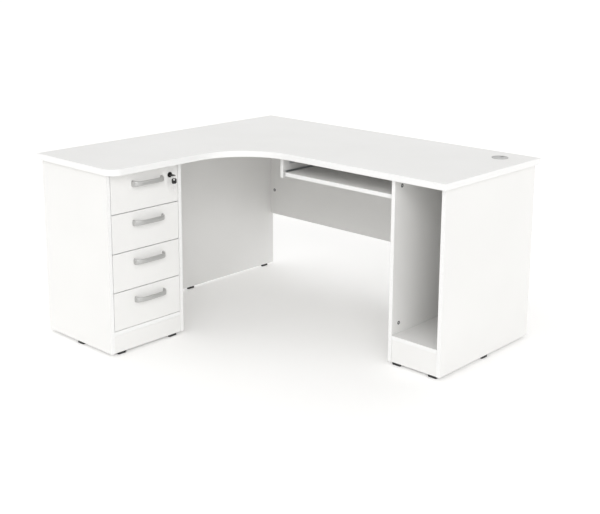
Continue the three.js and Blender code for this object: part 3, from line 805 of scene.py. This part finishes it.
def make_drawer_runners(n):
    bodies = ("desk_frame", f"drawer_{n}")
    box_low, box_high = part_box(f"drawer_{n}_box")
    for side, node in ((1, f"drawer_{n}_runner_outer"), (-1, f"drawer_{n}_runner_inner")):
        low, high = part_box(node)
        wall_y = low.y if side == 1 else high.y
        box_y = box_low.y if side == 1 else box_high.y
        gap = abs(box_y - wall_y) - SEAM
        wall = (low.x, wall_y, 0)
        make_ball_slide(node, node, wall, (0, side, 0), (1, 0, 0), high.x - low.x, gap, bodies)


def make_tray_slides():
    """The tray's slides, each with a moulded cap that closes its front end and moves with the tray."""
    bodies = ("desk_frame", "keyboard_tray")
    wall_clearance, tray_clearance, end_clearance = 0.8 * MM, 0.4 * MM, 0.3 * MM
    cap_inset = 1 * MM
    tray_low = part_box("keyboard_tray")[0]
    for side, hand in ((1, "left"), (-1, "right")):
        name = f"tray_slide_{hand}"
        low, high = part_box(f"{name}_outer")
        inner_low, inner_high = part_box(f"{name}_inner")
        wall_x = low.x if side == 1 else high.x
        tray_x = inner_high.x if side == 1 else inner_low.x
        make_ball_slide(
            name, f"{name}_outer", (wall_x, low.y, 0), (side, 0, 0), (0, 1, 0), high.y - low.y,
            abs(tray_x - wall_x), bodies, [f"{name}_inner"])
        near, far = sorted((wall_x + side * wall_clearance, tray_x))
        cap_low = (near, tray_low.y + tray_clearance, low.z + cap_inset)
        cap_high = (far, low.y - end_clearance, high.z - cap_inset)
        cap = block(cap_low, cap_high, 0.5 * MM)
        piece(f"{name}_cap", [cap], GREY_PLASTIC, "keyboard_tray")


# ---- Drawers ----
WALL = 12 * MM
BOX_FLOOR_LOW = 6 * MM
BOX_FLOOR_HIGH = 10 * MM
LOCK_HOLE_RADIUS = 9.6 * MM
PULL_THICKNESS = 7 * MM
PULL_BAR_HEIGHT = 19 * MM
# Powers below 1 turn a circle into a rounded box: one for the bow's path, one for its section.
BOW_POWER = 0.55
SECTION_POWER = 0.75
# How the bar grows taller towards its feet, and how far its sections turn on the way there.
FLARE_POWER = 1.6
BOW_LEAN = 1.4


def signed_power(value, power):
    """A power of a value that keeps its sign."""
    return math.copysign(abs(value) ** power, value)


def handle_rings(node, front_x):
    """Sections of a bow pull, a little taller at its two feet than in the middle."""
    low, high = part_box(node)
    steps, sides = 72, 24
    thick = PULL_THICKNESS
    foot_height = high.z - low.z
    centre_y, centre_z = (low.y + high.y) / 2, (low.z + high.z) / 2
    half_length = (high.y - low.y) / 2 - thick / 2
    reach = high.x - front_x
    foot_gap = 0.2 * MM
    rings = []
    for i in range(steps + 1):
        angle = math.pi * i / steps
        cosine, sine = math.cos(angle), max(0.0, math.sin(angle))
        along = signed_power(cosine, BOW_POWER) * half_length
        out = sine ** BOW_POWER * (reach - thick / 2)
        if i in (0, steps):
            across = Vector((0, math.copysign(1, cosine)))
        else:
            across = Vector((sine, cosine * reach / half_length * BOW_LEAN)).normalized()
        flare = (1 - sine) ** FLARE_POWER
        tall = PULL_BAR_HEIGHT + (foot_height - PULL_BAR_HEIGHT) * flare
        ring = []
        for j in range(sides):
            turn = 2 * math.pi * (j + 0.5) / sides
            depth = signed_power(math.cos(turn), SECTION_POWER) * thick / 2
            height = signed_power(math.sin(turn), SECTION_POWER) * tall / 2
            ring.append((
                front_x + foot_gap + out + depth * across.x,
                centre_y + along + depth * across.y,
                centre_z + height,
            ))
        rings.append(ring)
    return rings


def make_drawer_front(body):
    """The front board; the top drawer's has a hole for the lock."""
    low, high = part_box(f"{body}_front")
    hole = None
    if body == "drawer_1":
        lock_low, lock_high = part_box("lock_barrel")
        hole = ((lock_low.y + lock_high.y) / 2, (lock_low.z + lock_high.z) / 2)
    board(f"{body}_front", low, high, body, [f"{body}_front"], hole, LOCK_HOLE_RADIUS)


def make_drawer_box(body):
    """Two sides, a rear and a thin bottom between them."""
    low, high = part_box(f"{body}_box")
    board(f"{body}_side_outer", low, (high.x, low.y + WALL, high.z), body, [f"{body}_box"])
    board(f"{body}_side_inner", (low.x, high.y - WALL, low.z), high, body)
    inside_low = low.y + WALL + SEAM
    inside_high = high.y - WALL - SEAM
    board(f"{body}_rear", (low.x, inside_low, low.z), (low.x + WALL, inside_high, high.z), body)
    floor_low = (low.x + WALL + SEAM, inside_low, low.z + BOX_FLOOR_LOW)
    floor_high = (high.x - SEAM, inside_high, low.z + BOX_FLOOR_HIGH)
    bottom = block(floor_low, floor_high, 0.3 * MM)
    piece(f"{body}_bottom", [bottom], MELAMINE, body)


def make_pull(body):
    """The bow pull and the two screws that hold it, seen inside the drawer."""
    front_low, front_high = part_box(f"{body}_front")
    low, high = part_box(f"{body}_handle")
    pull = stack(handle_rings(f"{body}_handle", front_high.x))
    piece(f"{body}_pull", [pull], NICKEL, body, [f"{body}_handle"])
    screw_inset = 12 * MM
    screw_radius = 4.5 * MM
    screws = []
    for y in (low.y + screw_inset, high.y - screw_inset):
        screws += screw_parts((front_low.x, y, (low.z + high.z) / 2), (-1, 0, 0), screw_radius)
    piece(f"{body}_pull_screws", screws, ZINC, body)


def make_drawer_fittings(body):
    """Cams inside the drawer, at both ends of each side."""
    low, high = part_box(f"{body}_box")
    inset, lift = 34 * MM, 8 * MM
    z = (low.z + high.z) / 2 + lift
    fittings = []
    for side_y, normal in ((low.y + WALL, 1), (high.y - WALL, -1)):
        for x in (high.x - inset, low.x + inset):
            fittings += cam_fitting_parts((x, side_y, z), (0, normal, 0))
    piece(f"{body}_fittings", fittings, PAINTED_DARK_FITTING, body)


def make_drawer(n):
    body = f"drawer_{n}"
    make_drawer_front(body)
    make_drawer_box(body)
    make_pull(body)
    make_drawer_fittings(body)
    make_drawer_runners(n)


# ---- Lock and keys ----
KEY_HEAD_LENGTH = 22 * MM
KEY_HEAD_WIDTH = 20 * MM
KEY_HOLE_RADIUS = 3.5 * MM
KEY_HOLE_INSET = 5.5 * MM
KEY_HEAD_THICKNESS = 2.5 * MM
KEY_HEAD_CORNER = 6 * MM
KEY_GRIP_START = 1.5 * MM
KEY_GRIP_LENGTH = 9 * MM
KEY_GRIP_WIDTH = 14 * MM
KEY_GRIP_THICKNESS = 5 * MM
KEY_BLADE_LENGTH = 27 * MM
KEY_BLADE_WIDTH = 7 * MM
KEY_BLADE_THICKNESS = 2 * MM
KEY_TIP_LENGTH = 2 * MM
# The bittings: how deep each is, where the first starts from the tip, the way from one to the next
# and the length of each slope.
BITTING_DEPTHS = (1.2 * MM, 2.2 * MM, 0.8 * MM, 1.8 * MM, 1.3 * MM)
BITTING_START = 4 * MM
BITTING_PITCH = 3.4 * MM
BITTING_SLOPE = 0.9 * MM
SPARE_TWIST = math.pi * 0.35


def along_x(place):
    """Turns a part drawn about Z to point along X from a place."""
    return facing(place, (1, 0, 0))


def make_lock_barrel(axis_y, axis_z):
    """A tube through the drawer's front with a rounded rim outside."""
    low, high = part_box("lock_barrel")
    length = high.x - low.x
    rim = (high.y - low.y) / 2
    shell, bore = 9.5 * MM, 6.5 * MM
    rounding = 1.2 * MM
    neck = length - (high.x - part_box("drawer_1_front")[1].x) + 0.3 * MM
    profile = [
        (bore, 0), (shell, 0), (shell, neck), (rim, neck),
        *arc((rim - rounding, length - rounding), rounding, 0, 90, 5),
        (bore + rounding, length), (bore, length - 0.8 * MM),
    ]
    barrel = moved(lathe(profile, 64, closed=True), along_x((low.x, axis_y, axis_z)))
    piece("lock_shell", [barrel], BLACK_NICKEL, "drawer_1", ["lock_barrel"])


def make_lock_plug(axis_y, axis_z):
    """A cylinder with a slot for the key, and at its rear a cam with a nut sunk into it."""
    low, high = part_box("lock_plug")
    length = high.x - low.x
    radius = 6.2 * MM
    slot_half, slot_tall, slot_deep = 4.5 * MM, 1.4 * MM, 25 * MM
    slot = rectangle(-slot_tall, -slot_half, slot_tall, slot_half)
    slot_end = length - slot_deep
    front = plate(circle(radius, 40), [slot], slot_end, length, 0.3 * MM, 2)
    rear = lathe([(radius, 0), (radius, slot_end)], 40)
    plug = [moved(part, along_x((low.x, axis_y, axis_z))) for part in (front, rear)]
    piece("lock_core", plug, BLACK_NICKEL, "lock_plug", ["lock_plug"])

    cam_half, cam_thick = 7 * MM, 3 * MM
    cam_high = (low.x + cam_thick, high.y, axis_z + cam_half)
    cam = block((low.x, axis_y - cam_half, axis_z - cam_half), cam_high, 0.6 * MM)
    nut_radius, nut_sides, nut_tall = 5.2 * MM, 6, 2.6 * MM
    nut = plate(circle(nut_radius, nut_sides), [], -nut_tall, -SEAM, 0.4 * MM)
    moved(nut, along_x((low.x + nut_tall, axis_y, axis_z)))
    piece("lock_cam", [cam, nut], ZINC, "lock_plug")


def make_lock():
    low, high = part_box("lock_barrel")
    axis_y, axis_z = (low.y + high.y) / 2, (low.z + high.z) / 2
    make_lock_barrel(axis_y, axis_z)
    make_lock_plug(axis_y, axis_z)


def key_head():
    """Drawn in X and Y with the hole at the origin, its outer end towards +X, its middle plane at Z 0."""
    outer = KEY_HOLE_INSET
    inner = outer - KEY_HEAD_LENGTH
    half = KEY_HEAD_WIDTH / 2
    corner = KEY_HEAD_CORNER
    outline = [
        *arc((outer - corner, half - corner), corner, 0, 90, 8),
        *arc((inner + corner, half - corner), corner, 90, 180, 8),
        *arc((inner + corner, -half + corner), corner, 180, 270, 8),
        *arc((outer - corner, -half + corner), corner, 270, 360, 8),
    ]
    thick = KEY_HEAD_THICKNESS / 2
    return plate(outline, [circle(KEY_HOLE_RADIUS, 32)], -thick, thick, 0.6 * MM, 3)


def key_grip():
    """The thicker middle of the head, where it is held."""
    start = KEY_HOLE_INSET - KEY_HEAD_LENGTH + KEY_GRIP_START
    wide, thick = KEY_GRIP_WIDTH / 2, KEY_GRIP_THICKNESS / 2
    return block((start, -wide, -thick), (start + KEY_GRIP_LENGTH, wide, thick), 1.2 * MM, 3)


def key_blade():
    """A flat blade with bittings cut into one side."""
    root = KEY_HOLE_INSET - KEY_HEAD_LENGTH
    tip = root - KEY_BLADE_LENGTH
    half = KEY_BLADE_WIDTH / 2
    thick = KEY_BLADE_THICKNESS / 2
    bitted = []
    for i, depth in enumerate(BITTING_DEPTHS):
        start = tip + BITTING_START + BITTING_PITCH * i
        for step, share in enumerate((0, 1, 1, 0)):
            bitted.append((start + step * BITTING_SLOPE, half - depth * share))
    point_start = tip + KEY_TIP_LENGTH
    outline = [
        (root, half), *reversed(bitted), (point_start, half), (tip, 0), (point_start, -half), (root, -half),
    ]
    return plate(outline, [], -thick, thick, 0.25 * MM, 1)


def make_key(name, body, node, matrix):
    """A key of one node, drawn as a plastic head and a metal blade."""
    head = [moved(part, matrix) for part in (key_head(), key_grip())]
    piece(f"{name}_head", head, KEY_PLASTIC, body, [node])
    piece(f"{name}_blade", [moved(key_blade(), matrix)], CHROME, body)


def split_ring(centre, radius, wire):
    """Two turns of springy wire lying side by side, in the plane of X and Z."""
    steps, sides, turns = 150, 10, 2
    first_angle = math.radians(200)
    squeeze = 0.96
    thin = wire / 2
    rings = []
    for i in range(steps + 1):
        angle = 2 * math.pi * turns * i / steps + first_angle
        side = (i / steps - 0.5) * wire
        out = Vector((math.sin(angle), 0, math.cos(angle)))
        ring = []
        for j in range(sides):
            turn = 2 * math.pi * j / sides
            sideways = Vector((0, side + math.sin(turn) * thin * squeeze, 0))
            ring.append(centre + out * (radius + math.cos(turn) * thin) + sideways)
        rings.append(ring)
    return stack(rings)


def make_keys():
    """The key in the lock, the split ring through its hole and the spare key that hangs from the ring."""
    key_low, key_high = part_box("key")
    ring_low, ring_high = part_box("key_ring")
    key_middle = (key_low + key_high) / 2
    hole = Vector((key_high.x - KEY_HOLE_INSET, key_middle.y, key_middle.z))
    make_key("lock_key", "key", "key", Matrix.Translation(hole))
    ring_centre = (ring_low + ring_high) / 2
    wire = (ring_high.y - ring_low.y) / 2
    radius = (ring_high.x - ring_low.x) / 2 - wire
    ring = split_ring(ring_centre, radius, wire * 0.95)
    piece("split_ring", [ring], CHROME, "key_ring", ["key_ring"])
    hang = Vector((ring_centre.x, ring_centre.y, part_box("spare_key")[1].z - KEY_HOLE_INSET))
    twist = Matrix.Rotation(SPARE_TWIST, 4, "Z")
    hang_down = Matrix.Rotation(-math.pi / 2, 4, "Y") @ Matrix.Rotation(-math.pi / 2, 4, "X")
    make_key("spare_key", "key_ring", "spare_key", Matrix.Translation(hang) @ twist @ hang_down)


# ---- Keyboard tray ----
def make_tray():
    board("keyboard_tray", *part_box("keyboard_tray"), "keyboard_tray", ["keyboard_tray"])
    make_tray_slides()


# ---- The scene ----
make_camera()
bpy.context.scene.view_settings.view_transform = "Standard"
make_world()
for lamp_name, (direction, strength, spread) in LAMPS.items():
    make_lamp(lamp_name, direction, strength, spread)
make_floor()
make_carcass()
make_worktop()
make_grommet()
for foot_node in sorted(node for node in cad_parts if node.startswith("foot_")):
    make_foot(foot_node)
make_cam_fittings()
make_brackets()
for drawer_number in DRAWERS:
    make_drawer(drawer_number)
make_lock()
make_keys()
make_tray()
